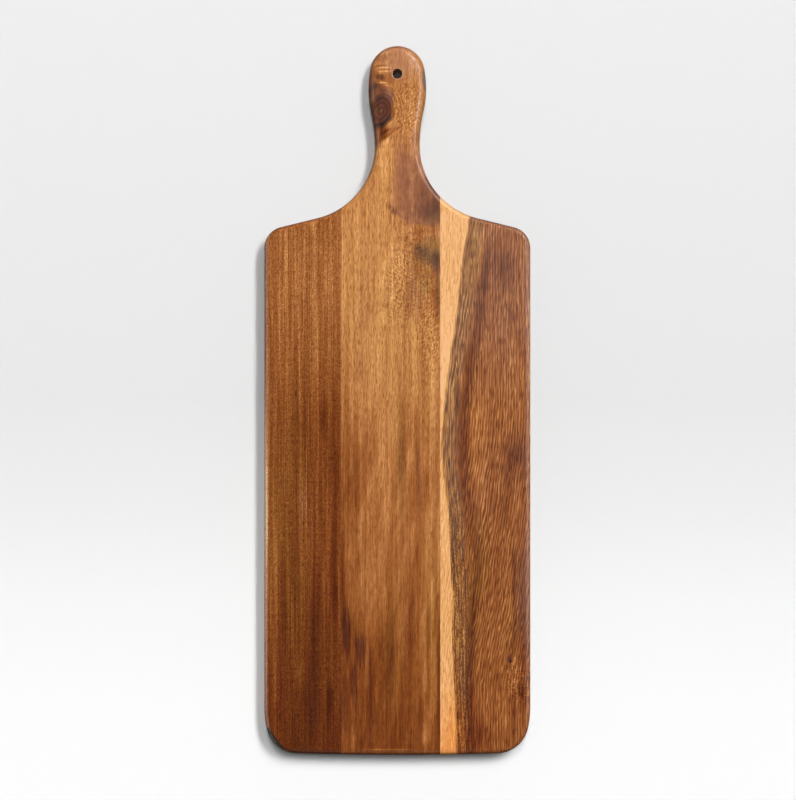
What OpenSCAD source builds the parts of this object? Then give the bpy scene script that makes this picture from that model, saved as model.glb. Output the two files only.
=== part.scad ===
// Paddle charcuterie board, lying flat with its handle towards +Y.
// Three wooden staves are edge-glued side by side. The outline is cut from
// the glued panel, the handle comes out of the centre stave alone, and the
// edge is rounded over all round on both faces, more fully round the handle.
// Origin: centre of the board's box on the surface that it lies on.

/* [Board] */
// Overall length, from the tip of the handle to the foot
board_length = 610; // [560:1:760]
// Overall width of the body
board_width = 228.6; // [205:0.1:300]
// Thickness of the planed panel
board_thickness = 19; // [14:0.1:30]
// Radius of the roundover along the top and the bottom edge of the body
edge_round = 4.8; // [1:0.1:6]

/* [Handle] */
// Greatest width of the swelling at the end of the handle
bulb_width = 49.6; // [45:0.1:62]
// Distance from the tip to the widest place of the swelling
bulb_reach = 36; // [30:0.1:44]
// Radius of the long arc on each side of the swelling
bulb_side_radius = 88; // [65:1:130]
// Width at the narrowest place of the handle
neck_width = 38.3; // [30:0.1:43]
// Radius of the hollow from the swelling down to the narrowest place
neck_radius = 131; // [90:1:200]
// Radius of the hollow from the narrowest place out to the shoulder
flare_radius = 65; // [45:1:80]
// Radius of the fuller roundover round the swelling, where the hand holds it
grip_round = 9; // [4:0.1:12]

/* [Shoulder] */
// Fall of the straight shoulder below square, in degrees
shoulder_slope = 13.8; // [6:0.1:22]
// Radius of the corner between the shoulder and the side
shoulder_radius = 18.3; // [9:0.1:30]

/* [Foot] */
// Radius of the slow arc where the side starts to turn in
foot_side_radius = 73.6; // [45:0.1:110]
// Angle that the slow arc turns through, in degrees
foot_side_turn = 13.8; // [4:0.1:22]
// Radius of the tight arc of each foot corner
foot_corner_radius = 27.3; // [12:0.1:40]
// Radius of the slight outward bow of the foot
foot_bow_radius = 2600; // [1200:10:6000]

/* [Staves] */
// Distance from the centreline to the left glue line
left_seam = 48.1; // [34:0.1:70]
// Distance from the centreline to the right glue line
right_seam = 36.7; // [32:0.1:60]
// Thickness of the film of cured glue between two staves
glue_film = 0.15; // [0.05:0.01:0.4]

/* [Hanging hole] */
// Diameter of the hole through the handle
hole_diameter = 8.5; // [5:0.1:14]
// Distance from the tip to the centre of the hole
hole_reach = 25.1; // [18:0.1:34]
// Width of the eased rim of the hole
hole_ease = 0.6; // [0.2:0.1:1.2]

/* [Smoothness] */
// Greatest distance between an outline arc and its chords
chord_sag = 0.06; // [0.03:0.01:0.3]
// Number of facets round the hole
hole_facets = 96; // [32:8:160]

/* [Hidden] */

// Overrun of the cutting shapes past the board
overrun = 6;
// Least height of the straight band between the two roundovers
least_band = 0.6;

half_length = board_length / 2;
half_width = board_width / 2;
half_film = glue_film / 2;
half_bulb = bulb_width / 2;
half_neck = neck_width / 2;
hole_radius = hole_diameter / 2;

// The chain of tangent arcs down the right half of the outline.
// Swelling: the cap arc round the tip, then the long arc of its side
cap_radius = (2 * bulb_side_radius * half_bulb - half_bulb ^ 2 - bulb_reach ^ 2)
    / (2 * (bulb_side_radius - bulb_reach));
cap_centre = [0, half_length - cap_radius];
bulb_centre = [half_bulb - bulb_side_radius, half_length - bulb_reach];
cap_turn = atan2(cap_centre.y - bulb_centre.y, cap_centre.x - bulb_centre.x);

// Neck: two hollow arcs that meet at the narrowest place
neck_pull = half_bulb - half_neck;
neck_reach_sum = bulb_side_radius + neck_radius;
neck_drop = sqrt(2 * neck_reach_sum * neck_pull - neck_pull ^ 2);
neck_centre = [half_neck + neck_radius, bulb_centre.y - neck_drop];
neck_turn = asin(neck_drop / neck_reach_sum);
flare_centre = [half_neck + flare_radius, neck_centre.y];

// Shoulder: a straight run from the flare to the rounded corner
shoulder_start_x = flare_centre.x - flare_radius * sin(shoulder_slope);
shoulder_start_y = flare_centre.y - flare_radius * cos(shoulder_slope);
shoulder_centre_x = half_width - shoulder_radius;
shoulder_end_x = shoulder_centre_x + shoulder_radius * sin(shoulder_slope);
shoulder_end_y = shoulder_start_y - tan(shoulder_slope) * (shoulder_end_x - shoulder_start_x);
shoulder_centre = [shoulder_centre_x, shoulder_end_y - shoulder_radius * cos(shoulder_slope)];

// Foot: slow arc, corner arc and bow, each tangent to the next
foot_arc_gap = foot_side_radius - foot_corner_radius;
bow_centre = [0, foot_bow_radius - half_length];
corner_centre_x = half_width - foot_side_radius + foot_arc_gap * cos(foot_side_turn);
bow_gap = foot_bow_radius - foot_corner_radius;
corner_centre = [corner_centre_x, bow_centre.y - sqrt(bow_gap ^ 2 - corner_centre_x ^ 2)];
foot_side_centre = [half_width - foot_side_radius, corner_centre.y + foot_arc_gap * sin(foot_side_turn)];
bow_turn = asin(corner_centre_x / bow_gap);

// Chords that keep an arc of radius r through the given turn within chord_sag
function chords(r, turn) = max(1, ceil(abs(turn) / (2 * acos(1 - chord_sag / r))));

// Places along an arc from one angle to another, each with its outward direction.
// The arc bulges outwards where side is 1 and is hollow where side is -1.
function arc_places(centre, r, from, to, side, skip_last) =
    let (n = chords(r, to - from))
    [for (i = [0:1:(skip_last ? n - 1 : n)])
        let (a = from + (to - from) * i / n, out = [cos(a), sin(a)])
        [centre + r * out, side * out]];

right_half = concat(
    arc_places(cap_centre, cap_radius, 90, cap_turn, 1, true),
    arc_places(bulb_centre, bulb_side_radius, cap_turn, -neck_turn, 1, true),
    arc_places(neck_centre, neck_radius, 180 - neck_turn, 180, -1, true),
    arc_places(flare_centre, flare_radius, 180, 270 - shoulder_slope, -1, false),
    arc_places(shoulder_centre, shoulder_radius, 90 - shoulder_slope, 0, 1, false),
    arc_places(foot_side_centre, foot_side_radius, 0, -foot_side_turn, 1, true),
    arc_places(corner_centre, foot_corner_radius, -foot_side_turn, bow_turn - 90, 1, true),
    arc_places(bow_centre, foot_bow_radius, bow_turn - 90, -90, 1, false));

function mirrored(place) = [[-place[0].x, place[0].y], [-place[1].x, place[1].y]];

// The whole outline, clockwise from the tip, without the tip and the foot twice
outline = concat(right_half, [for (i = [len(right_half) - 2:-1:1]) mirrored(right_half[i])]);
places = len(outline);

// The roundover grows from the body's radius at the shoulder to the grip's
// radius at the widest place of the swelling. A thin panel limits both.
fullest_round = (board_thickness - least_band) / 2;
body_radius = min(edge_round, fullest_round);
grip_radius = min(grip_round, fullest_round);

function eased(share) = let (s = min(1, max(0, share))) s * s * (3 - 2 * s);

function round_radius(y) =
    let (climb = eased((y - shoulder_start_y) / (bulb_centre.y - shoulder_start_y)))
    body_radius + (grip_radius - body_radius) * climb;

// Rings of the edge from the bottom face to the top face. Each has its share of
// the local radius inwards and upwards, and 1 where it is measured from the top.
round_steps = chords(max(body_radius, grip_radius), 90);
bottom_rings = [for (i = [0:1:round_steps])
    let (a = 90 * i / round_steps)
    [1 - sin(a), 1 - cos(a), 0]];
top_rings = [for (i = [round_steps:-1:0]) [bottom_rings[i][0], bottom_rings[i][1], 1]];
rings = concat(bottom_rings, top_rings);

function ring_points(ring) =
    [for (place = outline)
        let (
            radius = round_radius(place[0].y),
            spot = place[0] - ring[0] * radius * place[1],
            rise = ring[1] * radius)
        [spot.x, spot.y, ring[2] == 1 ? board_thickness - rise : rise]];

// A flat face of the panel, as strips across it from one side to the other.
// first is the index of the ring's first point in the list of points.
function flat_face(first) =
    let (foot = len(right_half) - 1)
    concat(
        [[first, first + 1, first + places - 1]],
        [for (i = [1:1:foot - 2])
            [first + i, first + i + 1, first + places - i - 1, first + places - i]],
        [[first + foot - 1, first + foot, first + foot + 1]]);

function turned_over(faces) = [for (face = faces) [for (i = [len(face) - 1:-1:0]) face[i]]];

module rounded_panel() {
    points = [for (ring = rings) each ring_points(ring)];
    last = len(rings) - 1;
    edge_faces = [for (j = [0:1:last - 1]) for (i = [0:1:places - 1])
        let (k = (i + 1) % places)
        [j * places + k, (j + 1) * places + k, (j + 1) * places + i, j * places + i]];
    polyhedron(
        points = points,
        faces = concat(turned_over(flat_face(0)), flat_face(last * places), edge_faces),
        convexity = 6);
}

// What the panel holds between two straight cuts along the grain
module panel_between(from_x, to_x) {
    intersection() {
        rounded_panel();
        translate([from_x, -half_length - overrun, -overrun])
            cube([to_x - from_x, board_length + 2 * overrun, board_thickness + 2 * overrun]);
    }
}

// The hole through the handle with its two eased rims
module hanging_hole() {
    rim = hole_radius + hole_ease + overrun;
    translate([0, half_length - hole_reach, 0])
        rotate_extrude($fn = hole_facets)
            polygon([
                [0, -overrun],
                [rim, -overrun],
                [hole_radius, hole_ease],
                [hole_radius, board_thickness - hole_ease],
                [rim, board_thickness + overrun],
                [0, board_thickness + overrun]]);
}

module left_stave() {
    color("#6e3d24")
        panel_between(-half_width - overrun, -left_seam - half_film);
}

module centre_stave() {
    color("#b0763f")
        difference() {
            panel_between(half_film - left_seam, right_seam - half_film);
            hanging_hole();
        }
}

module right_stave() {
    color("#8a4f30")
        panel_between(right_seam + half_film, half_width + overrun);
}

module left_glue_line() {
    color("#4a2a18")
        panel_between(-left_seam - half_film, half_film - left_seam);
}

module right_glue_line() {
    color("#4a2a18")
        panel_between(right_seam - half_film, right_seam + half_film);
}

left_stave();
centre_stave();
right_stave();
left_glue_line();
right_glue_line();
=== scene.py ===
import math

import bmesh
import bpy
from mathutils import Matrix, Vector


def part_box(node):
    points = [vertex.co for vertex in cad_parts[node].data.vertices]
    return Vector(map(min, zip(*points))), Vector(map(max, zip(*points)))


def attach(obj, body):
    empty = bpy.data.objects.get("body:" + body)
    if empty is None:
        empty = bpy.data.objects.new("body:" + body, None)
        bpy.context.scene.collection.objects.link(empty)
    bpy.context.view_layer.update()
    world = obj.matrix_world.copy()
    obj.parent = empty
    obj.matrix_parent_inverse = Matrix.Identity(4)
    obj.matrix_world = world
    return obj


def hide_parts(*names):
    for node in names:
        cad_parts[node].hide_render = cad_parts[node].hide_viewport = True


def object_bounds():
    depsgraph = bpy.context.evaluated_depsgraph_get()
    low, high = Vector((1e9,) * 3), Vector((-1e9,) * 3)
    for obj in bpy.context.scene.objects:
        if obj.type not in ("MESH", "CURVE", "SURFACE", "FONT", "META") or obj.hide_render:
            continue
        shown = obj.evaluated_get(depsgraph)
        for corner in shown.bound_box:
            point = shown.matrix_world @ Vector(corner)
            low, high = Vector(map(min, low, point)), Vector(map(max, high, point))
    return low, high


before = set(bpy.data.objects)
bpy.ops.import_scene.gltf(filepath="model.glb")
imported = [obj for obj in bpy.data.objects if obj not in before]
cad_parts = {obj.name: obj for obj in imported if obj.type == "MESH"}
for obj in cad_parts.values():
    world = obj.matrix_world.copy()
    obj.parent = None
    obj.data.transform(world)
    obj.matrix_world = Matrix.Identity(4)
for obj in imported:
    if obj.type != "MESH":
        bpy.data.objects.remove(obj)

# The board lies flat with its handle towards +Y. Lengths are in metres,
# and the wood's figure is placed in millimetres on the serving face.
MM = 0.001

# The frame's own sizes
cad_low, cad_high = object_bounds()
half_length = (cad_high.y - cad_low.y) / 2
half_width = (cad_high.x - cad_low.x) / 2
thickness = cad_high.z - cad_low.z
left_glue_low, left_glue_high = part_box("left_glue_line")
right_glue_low, right_glue_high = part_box("right_glue_line")

# The outline's driving sizes, as in the part's source
body_round = 4.8 * MM
grip_round = 9 * MM
bulb_width = 49.6 * MM
bulb_reach = 36 * MM
bulb_side_radius = 88 * MM
neck_width = 38.3 * MM
neck_radius = 131 * MM
flare_radius = 65 * MM
shoulder_slope = math.radians(13.8)
shoulder_radius = 18.3 * MM
foot_side_radius = 73.6 * MM
foot_side_turn = math.radians(13.8)
foot_corner_radius = 27.3 * MM
foot_bow_radius = 2600 * MM
hole_radius = 4.25 * MM
hole_reach = 25.1 * MM
hole_ease = 0.6 * MM

# Fineness of the meshes
finest_turn = math.radians(2.5)
longest_chord = 5 * MM
round_steps = 12
hole_facets = 96
rim_steps = 6
rim_turn = math.radians(80)
overrun = 3 * MM
sharp_edge = math.radians(40)
same_place = 0.01 * MM
on_the_cut = 0.001 * MM

# How the figure runs down through the thickness: the rings curve, the lines climb
ring_curve = 0.012
line_climb = 0.6

# The figure's own measures, in millimetres where they are lengths
noise_gain = 4
pore_fade = 0.45
frayed_ends = 14
trail_ends = 8
farthest_streak = 100
end_grain_tone = -0.45

# The oiled surface: how strongly its relief shows, how deep that is, and its sheen
relief_strength = 0.35
relief_depth = 0.08 * MM
oil_sheen = 0.4


def unit(angle):
    return Vector((math.cos(angle), math.sin(angle)))


def arc(centre, radius, start, end, hollow=False):
    """Places along an arc of the outline, each with its outward direction."""
    turn = end - start
    steps = math.ceil(max(abs(turn) / finest_turn, abs(turn) * radius / longest_chord))
    side = -1 if hollow else 1
    angles = [start + turn * i / steps for i in range(steps + 1)]
    return [(centre + radius * unit(a), side * unit(a)) for a in angles]


def right_half_outline():
    """The tangent arcs from the tip of the handle down the right side to the foot."""
    quarter = math.pi / 2
    half_bulb = bulb_width / 2
    half_neck = neck_width / 2
    cap_radius = (2 * bulb_side_radius * half_bulb - half_bulb**2 - bulb_reach**2) / (
        2 * (bulb_side_radius - bulb_reach)
    )
    cap = Vector((0, half_length - cap_radius))
    bulb = Vector((half_bulb - bulb_side_radius, half_length - bulb_reach))
    cap_turn = math.atan2(cap.y - bulb.y, cap.x - bulb.x)
    reach_sum = bulb_side_radius + neck_radius
    neck_pull = half_bulb - half_neck
    neck_drop = math.sqrt(2 * reach_sum * neck_pull - neck_pull**2)
    neck = Vector((half_neck + neck_radius, bulb.y - neck_drop))
    neck_turn = math.asin(neck_drop / reach_sum)
    flare = Vector((half_neck + flare_radius, neck.y))

    slope_out = Vector((math.sin(shoulder_slope), math.cos(shoulder_slope)))
    slope_start = flare - flare_radius * slope_out
    shoulder_x = half_width - shoulder_radius
    slope_end_x = shoulder_x + shoulder_radius * math.sin(shoulder_slope)
    slope_end_y = slope_start.y - math.tan(shoulder_slope) * (slope_end_x - slope_start.x)
    shoulder = Vector((shoulder_x, slope_end_y - shoulder_radius * math.cos(shoulder_slope)))

    arc_gap = foot_side_radius - foot_corner_radius
    bow = Vector((0, foot_bow_radius - half_length))
    corner_x = half_width - foot_side_radius + arc_gap * math.cos(foot_side_turn)
    bow_gap = foot_bow_radius - foot_corner_radius
    corner = Vector((corner_x, bow.y - math.sqrt(bow_gap**2 - corner_x**2)))
    foot_side_y = corner.y + arc_gap * math.sin(foot_side_turn)
    foot_side = Vector((half_width - foot_side_radius, foot_side_y))
    bow_turn = math.asin(corner_x / bow_gap)

    stretches = [
        arc(cap, cap_radius, quarter, cap_turn),
        arc(bulb, bulb_side_radius, cap_turn, -neck_turn),
        arc(neck, neck_radius, math.pi - neck_turn, math.pi, hollow=True),
        arc(flare, flare_radius, math.pi, 3 * quarter - shoulder_slope, hollow=True),
        arc(shoulder, shoulder_radius, quarter - shoulder_slope, 0),
        arc(foot_side, foot_side_radius, 0, -foot_side_turn),
        arc(corner, foot_corner_radius, -foot_side_turn, bow_turn - quarter),
        arc(bow, foot_bow_radius, bow_turn - quarter, -quarter),
    ]
    places = []
    for stretch in stretches:
        if places and (places[-1][0] - stretch[0][0]).length < same_place:
            stretch = stretch[1:]
        places += stretch
    climb_span = (slope_start.y, bulb.y)
    return places, climb_span


right_half, (climb_start, climb_end) = right_half_outline()
left_half = [(Vector((-p.x, p.y)), Vector((-d.x, d.y))) for p, d in right_half[-2:0:-1]]
outline = right_half + left_half


def round_radius(y):
    """The roundover's radius: the body's, growing up the handle to the grip's."""
    share = min(1, max(0, (y - climb_start) / (climb_end - climb_start)))
    return body_round + (grip_round - body_round) * share * share * (3 - 2 * share)


def rounded_panel():
    """The glued panel in one piece, with its edge rounded over on both faces."""
    turns = [math.pi / 2 * i / round_steps for i in range(round_steps + 1)]
    below = [(1 - math.sin(a), 1 - math.cos(a), False) for a in turns]
    above = [(1 - math.sin(a), 1 - math.cos(a), True) for a in reversed(turns)]
    panel = bmesh.new()
    rings = []
    for inset, rise, on_top in below + above:
        ring = []
        for place, out in outline:
            radius = round_radius(place.y)
            spot = place - inset * radius * out
            height = thickness - rise * radius if on_top else rise * radius
            ring.append(panel.verts.new((spot.x, spot.y, height)))
        rings.append(ring)
    count = len(outline)
    for low_ring, high_ring in zip(rings, rings[1:]):
        for i in range(count):
            panel.faces.new((low_ring[i - 1], low_ring[i], high_ring[i], high_ring[i - 1]))
    foot = len(right_half) - 1
    for ring in (rings[0], rings[-1]):
        panel.faces.new((ring[0], ring[1], ring[-1]))
        for i in range(1, foot - 1):
            panel.faces.new((ring[i], ring[i + 1], ring[count - i - 1], ring[count - i]))
        panel.faces.new((ring[foot - 1], ring[foot], ring[foot + 1]))
    bmesh.ops.recalc_face_normals(panel, faces=panel.faces[:])
    return panel


def saw(panel, x, keep):
    """Saws along the grain at x and keeps the "left" or the "right" part."""
    everything = panel.verts[:] + panel.edges[:] + panel.faces[:]
    bmesh.ops.bisect_plane(
        panel,
        geom=everything,
        dist=on_the_cut,
        plane_co=(x, 0, 0),
        plane_no=(1, 0, 0),
        clear_outer=keep == "left",
        clear_inner=keep == "right",
    )
    rim = [edge for edge in panel.edges if edge.is_boundary]
    bmesh.ops.edgeloop_fill(panel, edges=rim)
    bmesh.ops.recalc_face_normals(panel, faces=panel.faces[:])


def hole_cutter():
    """A turned shape that leaves a round hole with softened rims."""
    turns = [rim_turn * i / rim_steps for i in range(rim_steps + 1)]
    rim = [
        (hole_radius + hole_ease * (1 - math.cos(a)), thickness - hole_ease * (1 - math.sin(a)))
        for a in turns
    ]
    top = rim + [(hole_radius + 2 * hole_ease, thickness + 0.2 * hole_ease)]
    top.append((hole_radius + 2 * hole_ease, thickness + overrun))
    bottom = [(radius, thickness - height) for radius, height in reversed(top)]
    cutter = bmesh.new()
    rings = []
    for radius, height in bottom + top:
        spots = [radius * unit(2 * math.pi * i / hole_facets) for i in range(hole_facets)]
        centre_y = half_length - hole_reach
        rings.append([cutter.verts.new((s.x, centre_y + s.y, height)) for s in spots])
    for low_ring, high_ring in zip(rings, rings[1:]):
        for i in range(hole_facets):
            cutter.faces.new((low_ring[i - 1], low_ring[i], high_ring[i], high_ring[i - 1]))
    cutter.faces.new(rings[0])
    cutter.faces.new(rings[-1])
    bmesh.ops.recalc_face_normals(cutter, faces=cutter.faces[:])
    return cutter


def new_object(name, shape):
    mesh = bpy.data.meshes.new(name)
    shape.to_mesh(mesh)
    shape.free()
    thing = bpy.data.objects.new(name, mesh)
    bpy.context.scene.collection.objects.link(thing)
    return thing


def drill(thing):
    """Takes the hanging hole out of a stave."""
    cutter = new_object("hole_cutter", hole_cutter())
    cut = thing.modifiers.new("hole", "BOOLEAN")
    cut.operation = "DIFFERENCE"
    cut.solver = "EXACT"
    cut.object = cutter
    bpy.context.view_layer.update()
    ready = thing.evaluated_get(bpy.context.evaluated_depsgraph_get())
    drilled = bpy.data.meshes.new_from_object(ready)
    thing.modifiers.clear()
    thing.data = drilled
    bpy.data.objects.remove(cutter)


def stave(name, cad_node, from_x, to_x, material, drilled=False):
    """One lengthwise piece of the panel, which stands for its CAD node."""
    panel = rounded_panel()
    if from_x is not None:
        saw(panel, from_x, "right")
    if to_x is not None:
        saw(panel, to_x, "left")
    piece = new_object(name, panel)
    if drilled:
        drill(piece)
    piece.data.materials.clear()
    piece.data.materials.append(material)
    for face in piece.data.polygons:
        face.use_smooth = True
        face.material_index = 0
    piece.data.set_sharp_from_angle(angle=sharp_edge)
    shading = piece.modifiers.new("even_shading", "WEIGHTED_NORMAL")
    shading.keep_sharp = True
    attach(piece, "root")
    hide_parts(cad_node)


class Signal:
    """A value in a material. Sums with signals add the Math nodes that they need."""

    def __init__(self, finish, socket):
        self.finish = finish
        self.socket = socket

    def maths(self, operation, *values):
        return self.finish.node("ShaderNodeMath", {"operation": operation}, dict(enumerate(values)))

    def __add__(self, other):
        return self.maths("ADD", self, other)

    def __radd__(self, other):
        return self.maths("ADD", other, self)

    def __sub__(self, other):
        return self.maths("SUBTRACT", self, other)

    def __rsub__(self, other):
        return self.maths("SUBTRACT", other, self)

    def __mul__(self, other):
        return self.maths("MULTIPLY", self, other)

    def __rmul__(self, other):
        return self.maths("MULTIPLY", other, self)

    def __truediv__(self, other):
        return self.maths("DIVIDE", self, other)

    def __neg__(self):
        return self.maths("MULTIPLY", self, -1)


class Finish:
    """A material, or the studio's surroundings, under construction."""

    def __init__(self, owner):
        owner.use_nodes = True
        self.owner = owner
        self.tree = owner.node_tree
        self.tree.nodes.clear()

    def node(self, kind, settings, sockets, output=0):
        """Adds a node: its settings first, then the values or links of its sockets."""
        made = self.tree.nodes.new(kind)
        for name, value in settings.items():
            if name == "stops":
                self.set_stops(made.color_ramp, value)
            elif name == "interpolation":
                made.color_ramp.interpolation = value
            else:
                setattr(made, name, value)
        for key, value in sockets.items():
            if isinstance(value, Signal):
                self.tree.links.new(value.socket, made.inputs[key])
            else:
                made.inputs[key].default_value = value
        return Signal(self, made.outputs[output]) if made.outputs else None

    def set_stops(self, ramp, stops):
        while len(ramp.elements) < len(stops):
            ramp.elements.new(0.5)
        for element, (position, colour) in zip(ramp.elements, stops):
            element.position = position
            element.color = (*colour, 1)

    def ramp(self, value, stops, interpolation="LINEAR"):
        settings = {"stops": stops, "interpolation": interpolation}
        return self.node("ShaderNodeValToRGB", settings, {"Fac": value})

    def fade(self, value, start, end):
        """0 at start and before, 1 at end and after, eased between."""
        settings = {"interpolation_type": "SMOOTHSTEP"}
        sockets = {"Value": value, "From Min": start, "From Max": end}
        return self.node("ShaderNodeMapRange", settings, sockets)

    def blend(self, amount, first, second, blend_type="MIX"):
        """The first colour, taking on the second as amount goes from 0 to 1."""
        settings = {"data_type": "RGBA", "blend_type": blend_type}
        return self.node("ShaderNodeMix", settings, {0: amount, 6: first, 7: second}, output=2)

    def part(self, vector, letter):
        """The X, Y or Z of a vector."""
        return self.node("ShaderNodeSeparateXYZ", {}, {"Vector": vector}, output=letter)

    def vector_maths(self, operation, first, second, output="Vector"):
        settings = {"operation": operation}
        return self.node("ShaderNodeVectorMath", settings, {0: first, 1: second}, output)

    def placed(self, spot, centre, size, lean=0):
        """A spot as seen from a centre, turned by the lean and measured in the sizes given."""
        settings = {"vector_type": "TEXTURE"}
        sockets = {
            "Vector": spot,
            "Location": centre,
            "Rotation": (0, 0, -math.radians(lean)),
            "Scale": size,
        }
        return self.node("ShaderNodeMapping", settings, sockets)


class Wood(Finish):
    """Oiled wood whose figure is set on the serving face and runs on through the thickness."""

    def __init__(self, name, ring_lean):
        super().__init__(bpy.data.materials.new(name))
        inside = self.node("ShaderNodeTexCoord", {}, {}, output="Object")
        scaled = {"operation": "SCALE"}
        self.spot = self.node("ShaderNodeVectorMath", scaled, {0: inside, "Scale": 1 / MM})
        self.x = self.part(self.spot, "X")
        self.y = self.part(self.spot, "Y")
        depth = thickness / MM - self.part(self.spot, "Z")
        self.across = self.x + depth * ring_lean + depth * depth * ring_curve
        self.along = self.y + depth * line_climb
        self.tone = 0
        self.coolness = 0
        self.gold = 0
        self.ember = 0

    def grain(self, width, length, lean=0, detail=2, seed=0, roughness=0.5):
        """Noise drawn out along the grain, from about -1 to 1."""
        start = (seed * 37.0, seed * 91.0, seed * 53.0)
        places = self.placed(self.spot, start, (width, length, width), lean)
        sockets = {"Vector": places, "Scale": 1.0, "Detail": detail, "Roughness": roughness}
        noise = self.node("ShaderNodeTexNoise", {"noise_dimensions": "3D"}, sockets)
        return (noise - 0.5) * noise_gain

    def bend(self, push):
        """Moves the grain sideways, so that it flows round a knot."""
        shift = self.node("ShaderNodeCombineXYZ", {}, {0: -push})
        self.spot = self.vector_maths("ADD", self.spot, shift)

    def lined(self, across, spacing, length, loose, seed=0):
        """Fine lines along the grain, from -1 to 1, that wander the more the looser they are."""
        wander = self.grain(2.2, length, seed=seed, detail=0)
        phase = across * (2 * math.pi / spacing) + wander * loose
        return phase.maths("SINE", phase)

    def pores(self, width, length, crowd, lean=0, seed=7):
        """Short dark dashes of open grain: 1 in a dash and 0 between them."""
        noise = self.grain(width, length, lean=lean, detail=0, seed=seed)
        return self.fade(noise, crowd, crowd + pore_fade)

    def specks(self, lean, seed, ripple):
        """Dark specks of a curly figure, more of them on the crests of its ripple."""
        noise = self.grain(1.0, 2.8, lean=lean, detail=0, seed=seed)
        return self.fade(noise + ripple * 0.25, 0.15, 0.7)

    def settle(self, waver, feather):
        """Fixes the plane on which marks are placed, a little unsteady as real figure is."""
        slow = self.grain(18, 90, seed=3, detail=1)
        fibre = self.grain(0.8, 40, seed=5, detail=1)
        across = self.across + slow * waver
        self.plane = self.flat(across, self.along + fibre * feather)
        self.frayed_plane = self.flat(across, self.along + fibre * frayed_ends)
        self.steady_plane = self.flat(self.across, self.along)
        self.upright_plane = self.flat(self.x, self.y)
        self.fibre = fibre
        self.facing = self.node("ShaderNodeTexCoord", {}, {}, output="Normal")
        # The west-facing surfaces, through which light and sheen are painted onto the left
        # roundovers
        self.west_face_painted_light = self.fade(self.part(self.facing, "X"), -0.1, -0.7)

    def flat(self, across, along):
        return self.node("ShaderNodeCombineXYZ", {}, {0: across, 1: along, 2: 0.0})

    def along_arrow(self, plane, arrow):
        """How far each place on the plane lies in the direction of an arrow."""
        return self.vector_maths("DOT_PRODUCT", plane, arrow, "Value")

    def reach(self, plane, x, y, wide, long, lean=0):
        """The distance from a centre: 1 on the rim of an oval, which may lean to the right."""
        turn = math.radians(lean)
        first = (math.cos(turn) / wide, -math.sin(turn) / wide, 0)
        second = (math.sin(turn) / long, math.cos(turn) / long, 0)
        middle = (x * first[0] + y * first[1], x * second[0] + y * second[1], 0)
        if lean:
            turned = self.flat(self.along_arrow(plane, first), self.along_arrow(plane, second))
        else:
            turned = self.vector_maths("MULTIPLY", plane, (1 / wide, 1 / long, 0))
        return self.vector_maths("DISTANCE", turned, middle, "Value")

    def mask(self, x, y, wide, long, lean=0, soft=1.0, plane=None):
        """1 at a place on the serving face, falling to 0 at the rim of an oval round it."""
        reach = self.reach(plane or self.plane, x, y, wide, long, lean)
        return self.fade(reach, 1, 1 - soft)

    def oval(self, x, y, wide, long):
        """An eased mask that needs no plane to be fixed first."""
        return self.mask(x, y, wide, long, plane=self.flat(self.across, self.along))

    def trail(self, path, width, tone, cool=0):
        """A streak along a path on the serving face, given as (y, x) from the foot upwards.

        Where the path goes further out than farthest_streak, the streak keeps to that line.
        """
        low = path[0][0]
        high = path[-1][0]
        span = 2 * farthest_streak
        middle = span * self.level([(y, x / span + 0.5) for y, x in path]) - farthest_streak
        aside = self.across - middle
        side = self.fade(aside.maths("ABSOLUTE", aside), width, 0)
        low_end = self.fade(self.along, low - trail_ends, low + trail_ends)
        high_end = self.fade(self.along, high + trail_ends, high - trail_ends)
        cover = side * (low_end * high_end)
        self.add_tone(cover, tone)
        if cool:
            self.add_coolness(cover, cool)

    def add_tone(self, amount, share=1):
        self.tone = self.joined(amount, share, self.tone)

    def add_coolness(self, amount, share=1):
        self.coolness = self.joined(amount, share, self.coolness)

    def add_gold(self, amount, share=1):
        self.gold = self.joined(amount, share, self.gold)

    def add_ember(self, amount, share=1):
        self.ember = self.joined(amount, share, self.ember)

    def joined(self, amount, share, total):
        """A running total with a share of the amount added in one node."""
        return amount.maths("MULTIPLY_ADD", amount, share, total)

    def golden(self, places):
        """Ovals of more golden wood: x, y, half width, half length and amount."""
        for x, y, wide, long, amount in places:
            self.add_gold(self.mask(x, y, wide, long), amount)

    def marks(self, places, soft=1.0, plane=None):
        """Ovals of darker or lighter wood: x, y, half width, half length, lean, tone, coolness."""
        for x, y, wide, long, lean, tone, cool in places:
            spot = self.mask(x, y, wide, long, lean, soft, plane)
            self.add_tone(spot, tone)
            if cool:
                self.add_coolness(spot, cool)

    def level(self, stops):
        """A value along the board, given as (y, value) from the foot to the tip.

        The curve through the values is cut off at 0 and at 1.
        """
        foot = half_length / MM
        share = (self.along + foot) / (2 * foot)
        spaced = [((y + foot) / (2 * foot), (value, value, value)) for y, value in stops]
        return self.ramp(share, spaced, "CARDINAL")

    def course(self, stops):
        """A line up the serving face, 0 to 100 mm right of the middle, given as (y, x)."""
        return 100 * self.level([(y, x / 100) for y, x in stops])

    def shade(self, base):
        """The wood's colour: a warm and a cool row of tints, picked by how light the wood is."""
        end_face = self.part(self.facing, "Y")
        end_grain = self.fade(end_face.maths("ABSOLUTE", end_face), 0.5, 0.95)
        self.add_tone(end_grain, end_grain_tone)
        light = base * self.tone.maths("EXPONENT", self.tone)
        warm = self.ramp(light, [(tint[0], tint) for tint in warm_tints])
        cool = self.ramp(light, [(tint[0], tint) for tint in cool_tints])
        mixed = self.blend(self.fade(self.coolness, 0, 1), warm, cool)
        golden = self.blend(self.gold, mixed, gold_tint, "MULTIPLY")
        return self.blend(self.ember, golden, ember_tint, "MULTIPLY")

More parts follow.
